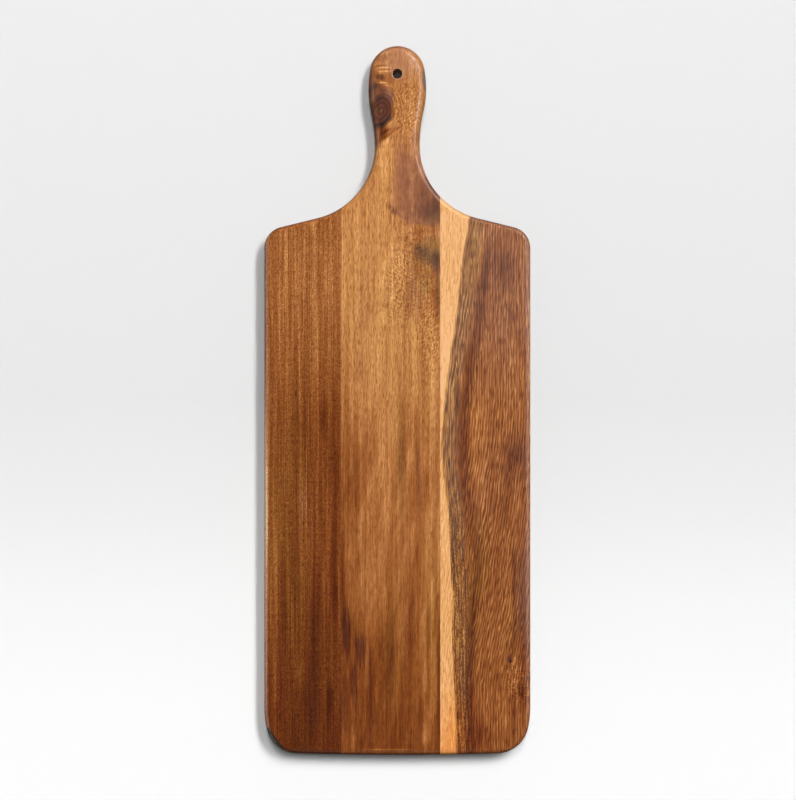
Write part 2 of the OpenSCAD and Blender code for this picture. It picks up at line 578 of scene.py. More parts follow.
    def done(self, colour, roughness, relief):
        """Joins everything to the surface."""
        bump = {"Strength": relief_strength, "Distance": relief_depth, "Height": relief}
        sockets = {
            "Base Color": colour,
            "Roughness": roughness,
            "Normal": self.node("ShaderNodeBump", {}, bump),
            "Specular IOR Level": oil_sheen,
        }
        surface = self.node("ShaderNodeBsdfPrincipled", {}, sockets)
        self.node("ShaderNodeOutputMaterial", {}, {"Surface": surface})
        return self.owner


# Tints of the oiled wood from dark to light, in linear red, green and blue
warm_tints = [
    (0.0, 0.0, 0.0),
    (0.09, 0.015, 0.002),
    (0.15, 0.031, 0.004),
    (0.21, 0.054, 0.008),
    (0.26, 0.074, 0.012),
    (0.32, 0.101, 0.02),
    (0.37, 0.122, 0.03),
    (0.43, 0.153, 0.04),
    (0.5, 0.202, 0.06),
    (0.6, 0.26, 0.076),
    (0.7, 0.32, 0.098),
    (0.8, 0.385, 0.13),
    (0.92, 0.5, 0.22),
]
cool_tints = [
    (0.0, 0.0, 0.0),
    (0.055, 0.02, 0.011),
    (0.11, 0.042, 0.025),
    (0.16, 0.058, 0.034),
    (0.225, 0.084, 0.043),
    (0.31, 0.117, 0.054),
    (0.4, 0.153, 0.065),
    (0.475, 0.2, 0.088),
    (0.545, 0.249, 0.114),
    (0.62, 0.326, 0.163),
    (0.85, 0.55, 0.33),
]
gold_tint = (0.97, 1.22, 1.05, 1)
ember_tint = (1.0, 0.78, 0.55, 1)


def dark_stave_wood():
    """Dark amber heartwood with straight, closely lined grain."""
    wood = Wood("dark_stave_wood", 0.5)
    wood.settle(1.2, 4)
    base = wood.level([
        (-305, 0.12), (-275, 0.125), (-232, 0.15), (-204, 0.16), (-168, 0.178),
        (-129, 0.205), (-90, 0.225), (-52, 0.225), (-13, 0.235), (25, 0.29),
        (64, 0.335), (98, 0.365), (132, 0.35), (305, 0.35),
    ])
    lines = wood.grain(0.75, 80, seed=2)
    glimmer = wood.grain(0.8, 1.6, seed=4, detail=0)
    ripple = wood.grain(9, 1.6, seed=6, detail=1)
    wood.add_tone(wood.grain(5, 420, seed=1, detail=3, roughness=0.6) * 0.36)
    wood.add_tone(wood.grain(1.7, 150, seed=12) * 0.26)
    wood.add_tone(lines * 0.36)
    wood.add_tone(glimmer * 0.28)
    wood.add_tone(ripple * 0.07)
    wood.add_tone(wood.pores(0.8, 5, 0.35) * -0.36)
    wood.add_coolness(wood.grain(3, 120, seed=14) * 0.22 + 0.04)
    wood.marks([
        (-97, 110, 3.5, 70, 0, 0.22, -0.1),
        (-86.5, 110, 2.5, 70, 0, 0.2, -0.1),
        (-80, 110, 2.5, 70, 0, 0.16, 0),
        (-61, 105, 9, 60, 0, 0.2, 0),
        (-101, 110, 2, 60, 0, -0.14, 0.1),
        (-90.5, 110, 2, 60, 0, -0.16, 0.1),
        (-108, -120, 7, 160, 0, 0.32, 0),
        (-104, -270, 8, 40, 0, 0.22, 0),
        (-54, -110, 6.5, 175, 0, -0.5, -0.3),
        (-50.5, 20, 2.4, 290, 0, -0.2, -0.2),
        (-53, -60, 3.5, 30, 0, -0.2, 0),
        (-59, 42, 3.5, 26, 0, 0.24, 0),
        (-100, -5, 4, 36, 0, -0.24, 0),
        (-78, -150, 10, 60, 0, 0.16, 0),
        (-100, -156, 6, 30, 0, -0.16, 0),
        (-100, -250, 7, 16, 0, -0.24, 0),
        (-86, -228, 6, 26, 0, 0.2, 0),
        (-73, -250, 4, 16, 0, 0.24, 0),
        (-52, -165, 4, 20, 0, -0.24, 0),
        (-66, -190, 4, 14, 0, -0.2, 0),
        (-66, -20, 4, 24, 0, -0.24, 0),
        (-66, 128, 3.5, 18, 0, 0.16, 0),
        (-63, -12, 6, 26, 0, -0.46, 0),
        (-87, -34, 4, 18, 0, 0.2, 0),
        (-74, 138, 4, 18, 0, -0.2, 0),
        (-86, -232, 4, 16, 0, 0.22, 0),
        (-58, -250, 4, 14, 0, -0.2, 0),
        (-53, -165, 4, 20, 0, -0.2, 0),
        (-71, -215, 9, 90, 0, -0.34, 0.15),
        (-62, -150, 5, 60, 0, 0.18, 0),
        (-81, -90, 4, 26, 0, 0.1, 0.4),
        (-74, -262, 9, 45, 0, -0.2, 0.15),
        (-93, -180, 6, 80, 0, 0.24, -0.1),
        (-66, -90, 2.6, 130, 0, -0.22, 0),
        (-59, -110, 4, 75, 0, 0.22, 0),
        (-80, -80, 5, 100, 0, 0.18, 0),
        (-66, 130, 4, 36, 0, 0.22, 0),
        (-73, 126, 3.5, 36, 0, -0.26, 0),
        (-100, 108, 4, 60, 0, -0.16, 0),
        (-80, -258, 5, 24, 0, -0.34, 0),
        (-58, -260, 5, 26, 0, -0.44, 0),
        (-102, -270, 6, 20, 0, -0.36, 0),
        (-52, 0, 5, 36, 0, -0.16, 0),
    ])
    wood.golden([
        (-86, -40, 14, 90, 0.5),
        (-100, -110, 16, 120, 0.6),
        (-86, -190, 18, 110, 0.8),
        (-62, -230, 16, 70, 0.5),
        (-84, -290, 24, 40, 0.6),
        (-73, 40, 12, 60, 0.2),
    ])
    wood.marks([
        (-81.3, 76, 1.0, 26, 0, -0.5, 0),
        (-78, -64, 0.9, 112, 0, 0.34, 0),
        (-80, -195, 0.9, 24, 3, 0.34, 0),
        (-83.5, -245, 0.9, 34, 3, 0.3, 0),
        (-90, -259, 0.9, 38, 3, 0.45, 0),
        (-66, -239.5, 0.9, 10, 0, 0.4, 0),
        (-48.8, -247, 0.9, 16, 0, 0.3, 0),
        (-87.1, 5.8, 1.1, 4.5, 0, -1.2, 0),
        (-69.3, -198, 0.7, 4, 0, 0.5, 0),
        (-69.3, -214, 0.7, 3, 0, 0.6, 0),
        (-69.3, -232, 0.7, 3, 0, 0.5, 0),
        (-74.5, -299, 0.8, 3.5, 0, 0.6, 0),
    ], plane=wood.steady_plane)
    # Painted light and sheen: the left roundover is made lighter and greyer, most towards the foot
    painted_west_rim_light = wood.fade(wood.x, -108.2, -111.4) * 0.3 + wood.west_face_painted_light
    painted_rim_light_levels = [(-305, 2.2), (-255, 2.2), (-170, 1.6), (-45, 0.75), (90, 0), (305, 0)]
    wood.add_tone(painted_west_rim_light * wood.level(painted_rim_light_levels))
    wood.add_coolness(painted_west_rim_light * 0.7)
    colour = bark(wood, wood.shade(base), -103.9, -289.7)
    roughness = 0.31 + lines * 0.03
    return wood.done(colour, roughness, glimmer)


def bark(wood, colour, x, y):
    """A scar of grey-green bark that the foot corner's roundover leaves."""
    turn = math.radians(-36)
    inward = (math.cos(turn), -math.sin(turn), 0)
    upwards = (math.sin(turn), math.cos(turn), 0)
    outward = wood.along_arrow(wood.upright_plane, inward) - (x * inward[0] + y * inward[1])
    upward = wood.along_arrow(wood.upright_plane, upwards) - (x * upwards[0] + y * upwards[1])
    rough_rim = wood.grain(4, 4, seed=21) * 0.3
    cover = wood.fade(outward + rough_rim, 0.4, -0.3)
    cover = cover * wood.fade(upward, 12, 11) * wood.fade(upward, -13, -11)
    outer_part = wood.fade(outward + rough_rim * 2, -1.2, -3.2)
    crust = wood.blend(outer_part, (0.035, 0.024, 0.014, 1), (0.12, 0.11, 0.085, 1))
    return wood.blend(cover, colour, crust)


def honey_stave_wood():
    """Honey heartwood with a curly figure, a knot in the handle and cool brown stains."""
    wood = Wood("honey_stave_wood", 0.35)
    wood.bend(wood.oval(-15, 248, 30, 30) * 6)
    wood.settle(1.2, 4)
    base = wood.level([
        (-305, 0.22), (-258, 0.225), (-222, 0.24), (-190, 0.275), (-150, 0.345),
        (-112, 0.385), (-73, 0.40), (-34, 0.44), (5, 0.5), (43, 0.56), (82, 0.58),
        (116, 0.59), (145, 0.6), (200, 0.58), (250, 0.56), (305, 0.54),
    ])
    low_share = wood.fade(wood.along, 30, -90)
    back_zone = wood.mask(10, 108, 26, 62, 14, soft=0.6)
    slant_zone = wood.mask(28, 66, 15, 66, soft=0.6)
    handle_slant = wood.mask(9, 252, 17, 34, soft=0.5)
    tip = wood.mask(4, 296, 24, 24, soft=0.6)
    patch_rim = wood.grain(4, 8, seed=31) * 2.2
    inner = wood.across - 24
    inner = inner.maths("MINIMUM", inner, 0)
    patch_low = inner * inner * 0.015 + 150
    patch = wood.fade(wood.across + patch_rim * 1.4 + wood.fibre * 1.6, -10, 6)
    patch = patch * wood.fade(wood.along + patch_rim - patch_low, -3, 2.5)
    patch = patch * wood.fade(wood.along + wood.across * 0.5, 234, 202)
    slants = slant_zone + handle_slant
    slant_share = slants.maths("MINIMUM", slants, 1)
    lines = wood.grain(0.75, 55, seed=2)
    straight = wood.grain(0.8, 4.0, seed=4, detail=0)
    back_slant = wood.grain(1.0, 3.0, lean=-38, seed=8, detail=0)
    slant = wood.grain(1.0, 3.0, lean=32, seed=9, detail=0)
    ripple = wood.lined(wood.along - wood.across * 0.5, 4.3, 6, 2, seed=42)
    specks = wood.specks(-38, 41, ripple)
    slant_specks = wood.specks(32, 19, ripple)
    dashes = straight + back_zone * (back_slant * 1.7 - straight)
    dashes = dashes + slant_share * (slant * 1.7 - dashes)
    calm = 1 - tip * 0.3 - patch * 0.5
    wood.add_tone(wood.grain(6, 380, seed=1, detail=3, roughness=0.6) * 0.2)
    wood.add_tone(wood.grain(3.2, 170, seed=12) * (0.1 + low_share * 0.15))
    wood.add_tone(lines * 0.16)
    wood.add_tone(wood.grain(7, 55, lean=14, seed=44) * low_share * 0.18)
    curl = back_zone.maths("MAXIMUM", back_zone, slant_share)
    wood.add_tone(dashes * calm * (0.11 - low_share * 0.02 + curl * 0.05))
    wood.add_tone(wood.pores(0.7, 6.5, 0.25, lean=3) * calm * (0.8 - low_share * 0.3) * -0.42)
    wood.add_tone(wood.pores(0.8, 14, 0.3, seed=17) * (low_share * -0.1 - 0.16))
    wood.add_tone(specks * (back_zone * -0.42 - 0.06))
    wood.add_tone(slant_specks * slant_share * -0.36)
    wood.add_coolness(wood.grain(3.5, 110, seed=14) * 0.2 + 0.05)
    wood.add_coolness(specks * back_zone * 0.5)
    wood.marks([
        (-31, 80, 6, 75, 0, -0.14, 0.2),
        (-4, -252, 4, 10, 0, -0.24, 0),
        (23, -289, 8, 14, 0, 0.26, 0),
        (-45, -290, 4, 14, 0, 0.26, 0),
        (37, -50, 3.5, 22, 0, 0.3, 0),
        (36, -130, 4, 80, 0, 0.55, 0),
        (-38, -61, 4, 14, 0, 0.24, 0),
        (-32, -137, 5, 12, 0, -0.2, 0),
        (-25, -90, 5, 14, 0, -0.24, 0),
        (-38, -190, 5, 24, 0, -0.16, 0),
        (-45, -200, 3, 14, 0, 0.24, 0),
        (30, 146, 7, 10, 0, -0.4, 0),
        (18, 146, 7, 10, 0, -0.2, 0),
        (18, 108, 7, 12, 0, -0.24, 0),
        (-16, -130, 5, 70, 0, 0.2, 0),
        (21, -175, 5, 40, 0, 0.16, 0),
        (23, -232, 5, 70, 0, 0.24, 0),
        (10, -50, 4, 24, 0, 0.26, 0),
        (-4, -250, 5, 30, 0, 0.2, 0),
        (-11, -100, 5, 34, 0, 0.22, 0),
        (-38, -99, 5, 16, 0, 0.2, 0),
        (-38, -290, 5, 14, 0, 0.22, 0),
        (-38, -231, 5, 16, 0, -0.22, 0),
        (-4, 90, 5, 16, 0, 0.22, 0),
        (-11, 71, 5, 14, 0, 0.2, 0),
        (-11, 113, 6.5, 40, 18, 0.26, -0.1),
        (-25, 78, 4.5, 14, 0, -0.24, 0.3),
        (-32, 28, 6, 18, 0, -0.22, 0.3),
        (4, 58, 5, 48, 0, -0.2, 0),
        (15, 60, 5, 42, 0, 0.16, 0),
        (22.5, 30, 2.6, 65, 0, -0.2, 0),
        (30, 20, 5, 70, 0, 0.28, 0),
        (15, 20, 4, 50, 0, 0.26, 0),
        (3, 60, 4, 40, 0, 0.24, 0),
        (-45, 90, 4.5, 80, 0, 0.24, 0),
        (-45, -170, 5, 100, 0, -0.26, 0),
        (-18, 20, 6, 80, 0, 0.24, 0),
        (-4, -20, 5, 60, 0, 0.2, 0),
        (12.5, 95, 7, 34, 6, -0.42, 0.4),
        (17, 128, 10, 26, 0, -0.4, 0.1),
        (27, 106, 9, 22, 0, -0.4, 0.1),
        (31, 88, 6, 14, 0, -0.3, 0),
        (19, 84, 6, 34, 8, -0.2, 0.3),
        (33, 84, 6, 30, 0, -0.3, 0.1),
        (27, -150, 7, 75, 0, 0.4, 0),
        (27, -250, 9, 80, 0, 0.46, 0),
        (22, -195, 5, 50, 0, 0.24, 0),
        (22, -288, 5, 20, 0, 0.26, 0),
        (12, -52, 6, 24, 0, 0.14, 0),
        (-37, -61, 5, 48, 20, -0.28, 0.1),
        (-22, -74, 4.5, 50, 16, 0.22, -0.1),
        (-12, -150, 6, 62, 0, 0.22, 0),
        (-40, -205, 6, 30, 0, -0.25, 0),
        (-18, -272, 5, 26, 0, -0.28, 0),
        (-33, -292, 5, 14, 0, -0.3, 0),
        (-4, -256, 4, 32, 0, 0.28, 0),
        (2, 118, 6, 24, 0, 0.22, 0),
        (22, 146, 10, 6, 0, -0.26, 0),
        (-22, -230, 6, 40, 0, -0.22, 0),
        (-36, -70, 17, 80, 0, -0.3, 0),
        (-27, -50, 8, 45, 12, -0.2, 0.1),
        (-11, -60, 8, 100, -2, 0.26, 0),
        (2.5, -40, 6, 68, 0, -0.26, 0.2),
        (12.5, -20, 3.5, 42, 0, 0.24, 0),
        (18, -65, 3.6, 80, -2, -0.46, 0.3),
        (27, -60, 8, 90, 0, 0.2, 0),
        (35, -52, 5, 24, 0, 0.2, 0),
        (-20, -175, 15, 40, 0, 0.26, -0.1),
        (11, -190, 4, 75, 0, -0.34, 0),
        (2, -205, 4.5, 50, 0, 0.34, 0),
        (-6, -235, 4, 70, 0, -0.3, 0.1),
        (19.5, -215, 4.5, 80, 0, 0.26, 0),
        (26.5, -215, 2.4, 80, 0, -0.2, 0),
        (31, -215, 4, 100, 0, 0.34, 0),
        (35.5, -235, 2.2, 70, 0, -0.4, 0),
        (-46, -160, 2.6, 130, 0, -0.3, 0.1),
    ])
    wood.marks([
        (-43.5, -198, 4.6, 25, 0, -0.8, 0.3),
        (-32, -211, 5.6, 16, 0, -0.66, 0.25),
        (-28.5, -203, 2, 9, 0, -0.3, 0.1),
        (-37.5, -243, 3.4, 20, 0, -0.64, 0.2),
        (-45, -262, 4, 30, 0, -0.3, 0.2),
        (-23.5, -255, 1.6, 48, 0, -0.4, 0.1),
    ], soft=0.3, plane=wood.frayed_plane)
    wood.add_tone(patch * (patch_rim * 0.1 - 0.46))
    wood.add_coolness(patch * 0.95)
    wood.marks([
        (31, 178, 17, 25, 0, -0.5, 0.2),
        (31, 160, 16, 12, 0, -0.4, 0.1),
        (24, 163, 22, 12, 10, -0.2, 0.1),
    ], soft=0.7)
    wood.marks([
        (-8, 168.5, 6, 1.5, 20, -0.5, 0.5),
        (-4, 163.5, 7, 2.8, 28, -0.85, 0.5),
        (-1, 159, 6, 1.6, 36, -0.4, 0.4),
        (-6, 156, 1.6, 8, 0, -0.5, 0.3),
        (-2.5, 153, 1.2, 8, 0, -0.4, 0.3),
        (8, 152.5, 8, 1.4, 34, -0.3, 0.4),
        (29, 146.5, 9, 1.3, 8, -0.34, 0.4),
        (32, 141, 6, 1.2, 20, -0.3, 0.4),
        (28, 137.5, 8, 1.4, 24, -0.4, 0.4),
        (27, 125, 20, 12, 14, -0.8, 0.7),
        (29, 124, 10, 7, 12, -0.2, 0.3),
        (35, 117, 9, 11, 10, -0.6, 0.8),
        (29, 137, 15, 8, 14, -0.3, 0.2),
        (12, 135, 12, 3, 30, -0.24, 0.1),
        (20, 130, 8, 2.2, 24, -0.4, 0.5),
        (30, 143, 11, 5.5, 0, 0.12, 0.2),
    ], soft=0.8)
    wood.marks([
        (35.5, 98, 4, 45, -2, -0.5, 0.5),
        (4, 294, 25, 26, 0, -0.02, 0.85),
        (-9, 206, 10, 26, 0, 0.18, -0.3),
        (10, 246, 12, 30, 0, 0.06, 0),
        (14, 226, 8, 14, 14, -0.2, 0.2),
    ], soft=0.7)
    wood.golden([
        (0, 60, 50, 110, 0.25),
        (31, 134, 12, 12, 0.9),
        (27, 125, 22, 16, 1.3),
        (33, 158, 12, 12, 0.8),
        (24, 101, 9, 18, 0.8),
        (30, -180, 12, 120, 0.45),
        (-5, -220, 14, 90, 0.5),
        (-36, 80, 14, 100, 0.15),
        (2, -50, 8, 90, 0.6),
        (25, -10, 12, 70, 0.25),
    ])
    # A painted highlight: a thin lighter line along the top of the foot's roundover
    wood.marks([(-8.5, -299.6, 29, 0.9, 0, 0.5, 0)], soft=0.5, plane=wood.upright_plane)
    heart = handle_marks(wood)
    # Painted light: the handle's west-facing roundover is lightened beside the knot
    grip_painted_rim_light = wood.level([
        (-305, 0), (130, 0), (195, 0), (215, 0.1), (226, 0.9), (250, 0.8), (263, 0.1), (305, 0),
    ])
    wood.add_tone(wood.west_face_painted_light * grip_painted_rim_light)
    # Painted light: the wall of the hanging hole is lightened, standing in for light reaching
    # inside it
    painted_hole_light = wood.mask(0, 279.9, 4.7, 4.7, soft=0.05, plane=wood.upright_plane)
    wood.add_tone(painted_hole_light, 1.4)
    lens = wood.mask(24.4, 276.4, 3.6, 12, soft=0.25, plane=wood.upright_plane)
    colour = wood.blend(lens, wood.shade(base), (0.24, 0.145, 0.1, 1))
    roughness = 0.31 + lines * 0.03 + heart * 0.35
    return wood.done(colour, roughness, dashes)


def handle_marks(wood):
    """The figure round the hanging hole, and the knot with its tail. Returns the knot's heart."""
    wood.marks([
        (-14, 295, 8, 5, 35, -0.28, 0.3),
        (-20.5, 276, 6, 13, 0, -0.4, 0.3),
        (-11.5, 285.2, 8.5, 1.0, 0, 0.36, 0),
        (-11, 282, 8.5, 1.0, 0, 0.34, 0),
        (-12, 283.6, 7, 0.7, 0, -0.3, 0),
        (-14.5, 287, 8, 1.0, 0, -0.5, 0.3),
        (-14.5, 277, 5, 3.6, 20, -0.9, 0.4),
        (-8, 276, 9, 7, 0, -0.36, 0.2),
        (-19, 270, 4, 4, 0, -0.4, 0.4),
        (-17, 265, 9, 11, 0, -0.9, 0.5),
        (-8, 264, 8, 6, 40, -0.55, 0.8),
        (-5, 258, 4, 6, 0, -0.3, 0.6),
        (-13.6, 272.3, 6.5, 1.0, 0, 0.6, 0),
    ], soft=0.6, plane=wood.steady_plane)
    heart = knot(wood, -14.3, 248.0, 10.0, 12.8)
    wood.marks([
        (-16, 230, 11, 12, -10, -1.35, 0.2),
        (-9, 231, 9, 1.8, -30, -0.5, 0.1),
        (-8, 227, 9, 1.5, -34, -0.4, 0.1),
        (-10, 222, 6, 4, -30, 0.3, -0.2),
        (-17, 221, 5, 6, 0, -0.6, 0.2),
        (-1, 232.5, 7, 2.0, -24, -0.34, 0.1),
    ], soft=0.7, plane=wood.steady_plane)
    return heart


def knot(wood, x, y, wide, long):
    """A dark knot with growth rings around it. Returns 1 in its dry heart and 0 outside."""
    waver = wood.node("ShaderNodeCombineXYZ", {}, {
        0: wood.grain(9, 9, seed=11, detail=0) * 0.8,
        1: wood.grain(9, 9, seed=12, detail=0) * 0.9,
    })
    shaken = wood.vector_maths("ADD", wood.steady_plane, waver)
    reach = wood.reach(shaken, x, y, wide, long, 8)
    heart = wood.fade(reach, 1.3, 0.7)
    olive = wood.fade(reach, 0.42, 0.15)
    wood.add_tone(heart * -1.75)
    wood.add_tone(olive * 0.15)
    wood.add_gold(olive * 0.8)
    wood.add_coolness(heart * 0.42)
    angle = reach * 21
    rings = angle.maths("SINE", angle)
    around = wood.mask(x + 8, y + 3, 20, 24, soft=0.6, plane=wood.steady_plane)
    wood.add_tone(rings * (heart * 0.16 + around * 0.17))
    rim = wood.fade(reach, 1.1, 0.95) * wood.fade(reach, 0.7, 0.85)
    low_right = wood.mask(x + 5, y - 9, 9, 8, soft=0.6, plane=wood.steady_plane)
    wood.add_tone(rim * low_right * -1.3)
    wood.add_coolness(rim * low_right * 1.4)
    return heart


def brown_stave_wood():
    """Red-brown heartwood with slanting figure, beside a strip of pale sapwood."""
    wood = Wood("brown_stave_wood", -0.4)
    wood.settle(1.0, 4)
    base = wood.level([
        (-305, 0.3), (-262, 0.3), (-200, 0.3), (-130, 0.3), (-90, 0.315), (-34, 0.315),
        (5, 0.35), (43, 0.36), (82, 0.34), (116, 0.32), (140, 0.33), (305, 0.33),
    ])
    low_zone = wood.mask(92, -185, 30, 75, soft=0.6)
    swing = wood.level([
        (-305, 0), (-245, 0), (-190, 0.3), (-120, 0.6), (-60, 0.85), (0, 1), (305, 1),
    ])
    lines = wood.lined(wood.x - swing * 34, 2.3, 18, 2.0, seed=2)
    slant = wood.grain(0.6, 8.5, lean=4, seed=4, detail=0)
    steep = wood.grain(0.6, 7.5, lean=14, seed=24, detail=0)
    border = wood.course([
        (-305, 51), (-264, 49.7), (-218, 47.7), (-165, 47.8), (-136, 45.8), (-95, 43.5),
        (-60, 39.5), (-25, 39), (0, 41), (22, 43.3), (51, 47.5), (75, 50.8), (90, 53),
        (118, 55.6), (138, 59), (160, 62), (305, 62),
    ])
    beyond = wood.across + wood.fibre * 0.9 - border
    streaks = wood.lined(beyond, 2.9, 26, 2.2, seed=8)
    sapwood = wood.fade(beyond, 0.9, -0.9)
    widening = wood.level([
        (-305, 1), (-240, 4), (-190, 7), (-125, 6), (-80, 1), (-60, 0), (305, 0),
    ])
    olive = wood.fade(beyond - widening, 16, 8) * (1 - sapwood)
    band = wood.course([
        (-305, 62), (-200, 62), (-160, 68), (-129, 67), (-100, 60), (-75, 57.5), (-47, 57),
        (-17, 57), (11, 60.2), (43, 64.5), (60, 68.8), (111, 74.8), (305, 90),
    ])
    aside = wood.across + lines * 0.8 - band
    dark_band = wood.fade(aside, -6, -1) * wood.fade(aside, 8, 1) * wood.fade(wood.along, 150, 90)
    heartwood = 1 - sapwood
    dashes = slant + low_zone * (steep - slant)
    broad = wood.grain(6, 300, seed=1, detail=3, roughness=0.6, lean=2)
    wood.add_tone(broad * (0.05 + heartwood * 0.1))
    strength = 0.28 + wood.grain(7, 60, seed=35) * 0.16
    wood.add_tone(lines * (0.06 + (heartwood - olive) * strength))
    wood.add_tone(dashes * (0.16 + heartwood * 0.04))
    wood.add_tone(streaks * olive * (0.5 - wood.fade(wood.along, 80, 120) * 0.3))
    flecks = wood.pores(0.9, 2.8, 0.05, lean=-25, seed=18)
    wood.add_tone(flecks * olive * wood.fade(wood.along, -50, -130) * -0.6)
    curls = wood.mask(103, -243, 12, 30, -14, soft=0.6)
    wood.add_tone(curls * (wood.grain(1.3, 1.7, seed=33, detail=0) * 0.42 + 0.02))
    wood.add_tone(wood.pores(0.7, 9, 0.2, lean=5) * heartwood * -0.5)
    wood.add_tone(wood.pores(0.8, 3.6, 0.35, seed=17) * sapwood * -0.17)
    wood.add_coolness(wood.grain(3, 90, seed=14) * 0.2)
    wood.add_tone(sapwood * wood.level([(-305, 1.12), (-100, 1.06), (100, 0.99), (305, 0.96)]))
    wood.add_tone(dark_band * (wood.fade(wood.along, -120, -60) * -0.3 - 0.3))
    wood.marks([
        (71, 120, 3.0, 44, 7, 0.4, -0.2),
        (65, 130, 3, 12, 0, 0.26, 0),
        (71, 30, 4, 18, 0, -0.24, 0),
        (51, 2, 3.4, 32, 0, -0.6, 0),
        (58, -58, 4, 12, 0, 0.26, 0),
        (58, -212, 3.5, 60, 0, 0.26, 0),
        (105, 52, 9, 34, 0, -0.2, 0),
        (85, -95, 6, 30, 0, -0.24, 0),
        (99, -215, 4, 60, 0, 0.24, 0),
        (76, -290, 26, 18, 0, -0.34, -0.2),
        (64, -262, 5, 20, 0, -0.2, 0),
        (57, 58, 3.5, 20, 0, -0.2, 0),
        (65, -99, 4, 12, 0, -0.26, 0),
        (58, -212, 3, 50, 0, 0.22, 0),
        (52, -268, 4, 14, 0, -0.3, 0),
        (71, -165, 4, 50, 0, -0.16, 0),
        (78, -155, 4, 20, 0, -0.2, 0),
        (106, -250, 5, 14, 0, -0.36, 0),
        (99, -165, 4, 44, 0, 0.26, 0),
        (92, -100, 5, 20, 0, -0.24, 0),
        (77, 118, 3, 24, 6, -0.34, 0.2),
        (64, 104, 3.5, 40, 8, 0.12, -0.2),
        (68, -30, 12, 55, 0, 0.3, -0.4),
        (91, 112, 18, 26, 0, -0.4, 0.2),
        (107, -49, 7, 30, 0, -0.34, 0.2),
        (73, -160, 5, 34, 0, 0.1, -0.1),
        (85, -150, 6, 50, 0, -0.12, 0),
        (88, -262, 12, 36, -10, 0.12, -0.4),
        (98, -182, 6, 22, 0, 0.2, 0),
        (95, -88, 8, 30, 0, -0.36, 0),
        (106, -146, 6, 26, 0, -0.3, 0),
        (106, -256, 6, 24, 0, -0.36, 0),
        (71, -128, 5, 46, 0, -0.2, 0),
        (71, -285, 6, 18, 0, -0.24, 0),
        (58, 106, 4, 16, 0, 0.24, 0),
        (71, 90, 5, 14, 0, 0.26, 0),
        (58, 33, 4, 16, 0, -0.26, 0),
        (98, 71, 7, 16, 0, -0.22, 0),
        (100, -46, 8, 18, 0, -0.2, 0),
        (99, -235, 5, 34, 0, 0.22, 0),
        (107.5, -205, 7, 80, 0, -0.46, 0.1),
        (103, -250, 6, 30, -12, 0.16, -0.3),
        (100, -45, 13, 32, 0, -0.24, 0.1),
        (107, -165, 5, 50, 0, -0.16, 0),
        (67, -283, 9, 34, 0, -0.34, 0),
        (65, -95, 4, 16, 0, -0.3, 0),
        (64, -145, 3, 30, 0, 0.26, 0),
        (65, -58, 4, 14, 0, 0.2, 0),
        (86, -232, 6, 22, 0, -0.22, 0),
        (51, 5, 3, 22, 0, -0.3, 0),
        (97, -55, 9, 38, 0, -0.42, 0),
        (71, -72, 8, 28, 0, 0.3, 0),
        (65, -200, 6, 110, 0, -0.2, 0),
        (58.5, -215, 3.4, 90, 0, -0.34, 0.1),
        (84, -258, 5, 26, 0, -0.3, 0),
        (69, 138, 9, 14, 0, 0.2, 0),
        (60, 110, 3, 24, 6, 0.26, 0),
        (50, 45, 4, 45, 8, -0.22, 0.1),
        (106, 128, 7, 24, 0, 0.22, 0),
        (112, 60, 3.5, 70, 0, 0.16, 0),
    ])
    wood.trail([(-222, 97.5), (-205, 101), (-185, 105), (-165, 109), (-130, 108)], 3.4, -0.75, 0.2)
    wood.trail([(-292, 110.5), (-275, 109.5), (-255, 106), (-235, 99), (-222, 96)], 2.6, -0.6, 0.1)
    wood.trail([(-303, 63.5), (-200, 64), (-150, 66)], 1.2, -0.3)
    wood.golden([
        (66, -170, 9, 100, 0.5),
        (72, -140, 12, 60, 0.5),
        (98, -200, 14, 60, 0.25),
        (68, 120, 10, 50, 0.4),
    ])
    reach = wood.reach(wood.plane, 110.4, -234, 1.9, 2.6)
    angle = reach * 5.5
    wood.add_tone(angle.maths("COSINE", angle) * wood.fade(reach, 3.4, 1.5) * -0.36)
    wood.marks([
        (97, -223.7, 2.0, 2.6, 0, -2.2, 0.6),
        (95.5, -221, 3.5, 4.5, 30, -0.5, 0.3),
        (112, -238, 2.2, 4.5, 10, -0.9, 0.4),
    ], plane=wood.steady_plane)
    # Painted light: the outer edge of the right roundover is lightened
    wood.add_tone(wood.fade(wood.x, 111.2, 113.6), 0.25)
    wood.add_coolness(wood.level([
        (-305, 0), (-260, 0), (-212, 0.05), (-120, 0.2), (-60, 0.3), (0, 0.3),
        (40, 0.5), (80, 0.8), (305, 0.85),
    ]))
    wood.add_coolness(wood.mask(112, -160, 14, 90) * 0.8)
    wood.add_coolness(sapwood * (wood.fade(wood.along, 0, 150) * 0.2 - 1))
    wood.add_coolness(olive * (streaks * -0.4 + 0.2))
    cool_stretch = wood.fade(wood.along, -150, -80) * wood.fade(wood.along, 110, 50)
    wood.add_coolness(olive * cool_stretch * 0.3)
    wood.add_gold(olive * 0.55)
    wood.add_ember(wood.oval(52, -310, 30, 90), 1.3)
    roughness = 0.42 + lines * 0.03
    return wood.done(wood.shade(base), roughness, dashes)


def glue_finish():
    glue = Finish(bpy.data.materials.new("cured_glue"))
    inside = glue.node("ShaderNodeTexCoord", {}, {}, output="Object")
    noise = glue.node("ShaderNodeTexNoise", {}, {"Vector": inside, "Scale": 220.0, "Detail": 2.0})
    colour = glue.blend(noise, (0.07, 0.03, 0.012, 1), (0.14, 0.06, 0.025, 1))
    surface = glue.node("ShaderNodeBsdfPrincipled", {}, {"Base Color": colour, "Roughness": 0.4})
    glue.node("ShaderNodeOutputMaterial", {}, {"Surface": surface})
    return glue.owner


